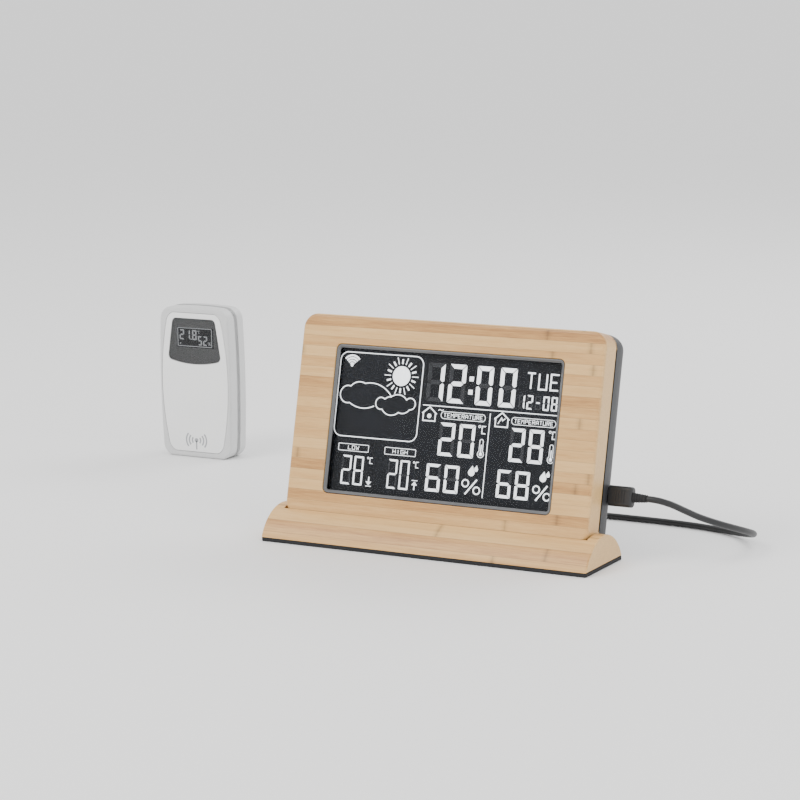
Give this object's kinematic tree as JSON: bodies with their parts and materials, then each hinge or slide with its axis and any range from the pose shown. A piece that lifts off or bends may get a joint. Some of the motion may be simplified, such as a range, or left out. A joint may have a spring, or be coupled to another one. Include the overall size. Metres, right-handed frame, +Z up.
{
  "type": "home weather station",
  "caption": "Bamboo-framed indoor weather display leaning on a D-section stand, with its USB lead and a free-standing wireless outdoor sensor.",
  "frame": {"origin": "centre of the stand's flat underside", "axes": "+Z up, -Y the way the display faces, +X to the right of someone looking at the display, along the stand"},
  "size_m": [0.4803, 0.2219, 0.1325],
  "materials": {
    "bamboo": "satin-oiled laminated bamboo strips",
    "case_black": "fine spark-textured black moulding",
    "window": "clear smoked acrylic, polished",
    "lcd": "dark negative display glass with pale segments",
    "light_guide": "translucent acrylic",
    "inner_white": "plain moulding",
    "circuit_board": "solder mask over glass fibre",
    "steel": "bright nickel plate",
    "cell_jacket": "plain shrink jacket, no print",
    "pad_rubber": "matt non-slip sheet",
    "lead_black": "soft satin cable jacket",
    "sensor_white": "fine-textured white moulding",
    "sensor_lens": "clear smoked acrylic, polished",
    "switch_black": "plain moulding"
  },
  "bodies": {
    "station": {"console_frame": "bamboo", "stand_base": "bamboo", "rear_cover": "case_black", "window_trim": "case_black", "piezo_buzzer": "case_black", "display_window": "window", "lcd_panel": "lcd", "sensor_lcd": "lcd", "backlight_panel": "light_guide", "lcd_carrier": "inner_white", "indoor_sensor": "inner_white", "sensor_probe": "inner_white", "main_board": "circuit_board", "button_board": "circuit_board", "power_board": "circuit_board", "sensor_board": "circuit_board", "wifi_module": "steel", "usb_socket": "steel", "battery_contact_left": "steel", "battery_contact_right": "steel", "sensor_contact_lower": "steel", "sensor_contact_upper": "steel", "case_screw_1": "steel", "case_screw_2": "steel", "case_screw_3": "steel", "case_screw_4": "steel", "stand_screw_left": "steel", "stand_screw_right": "steel", "sensor_screw_1": "steel", "sensor_screw_2": "steel", "battery_cell_1": "cell_jacket", "battery_cell_2": "cell_jacket", "battery_cell_3": "cell_jacket", "sensor_cell_1": "cell_jacket", "sensor_cell_2": "cell_jacket", "stand_pad": "pad_rubber", "sensor_front_shell": "sensor_white", "sensor_rear_shell": "sensor_white", "sensor_faceplate": "sensor_white", "sensor_lens": "sensor_lens"},
    "button_mode": {"button_mode": "case_black"},
    "button_up": {"button_up": "case_black"},
    "button_down": {"button_down": "case_black"},
    "button_alarm": {"button_alarm": "case_black"},
    "button_light": {"button_light": "case_black"},
    "battery_door": {"battery_door": "case_black"},
    "lead": {"plug_overmould": "lead_black", "plug_shell": "steel", "strain_relief": "lead_black", "lead_cord": "lead_black", "lead_tail": "lead_black", "lead_coil": "lead_black", "coil_tie": "lead_black", "usb_a_body": "lead_black", "usb_a_shell": "steel"},
    "sensor_battery_door": {"sensor_battery_door": "sensor_white"},
    "sensor_channel_switch": {"sensor_channel_switch": "switch_black"},
    "sensor_reset_button": {"sensor_reset_button": "switch_black"}
  },
  "joints": [
    {"name": "button_mode_press", "type": "slide", "parent": "station", "child": "button_mode", "axis": [0, -0.9711, 0.2385], "range_m": [0, 0.0008], "stiffness_N_per_m": 1500, "springref_m": -0.0003},
    {"name": "button_up_press", "type": "slide", "parent": "station", "child": "button_up", "axis": [0, -0.9711, 0.2385], "range_m": [0, 0.0008], "stiffness_N_per_m": 1500, "springref_m": -0.0003},
    {"name": "button_down_press", "type": "slide", "parent": "station", "child": "button_down", "axis": [0, -0.9711, 0.2385], "range_m": [0, 0.0008], "stiffness_N_per_m": 1500, "springref_m": -0.0003},
    {"name": "button_alarm_press", "type": "slide", "parent": "station", "child": "button_alarm", "axis": [0, -0.9711, 0.2385], "range_m": [0, 0.0008], "stiffness_N_per_m": 1500, "springref_m": -0.0003},
    {"name": "button_light_press", "type": "slide", "parent": "station", "child": "button_light", "axis": [0, -0.9711, 0.2385], "range_m": [0, 0.0008], "stiffness_N_per_m": 1500, "springref_m": -0.0003},
    {"name": "battery_door_swing", "type": "hinge", "parent": "station", "child": "battery_door", "pos_m": [0, 0.0249, 0.03639], "axis": [-1, 0, 0], "range_deg": [0, 75]},
    {"name": "plug_pull", "type": "slide", "parent": "station", "child": "lead", "axis": [1, 0, 0], "range_m": [0, 0.01]},
    {"name": "sensor_door_swing", "type": "hinge", "parent": "station", "child": "sensor_battery_door", "pos_m": [-0.2826, 0.196, 0.0129], "axis": [-1, 0, 0], "range_deg": [0, 75]},
    {"name": "channel_switch_slide", "type": "slide", "parent": "station", "child": "sensor_channel_switch", "axis": [1, 0, 0], "range_m": [-0.002, 0.002]},
    {"name": "reset_button_press", "type": "slide", "parent": "station", "child": "sensor_reset_button", "axis": [0, -1, 0], "range_m": [0, 0.0004], "stiffness_N_per_m": 1200, "springref_m": -0.0003}
  ]
}
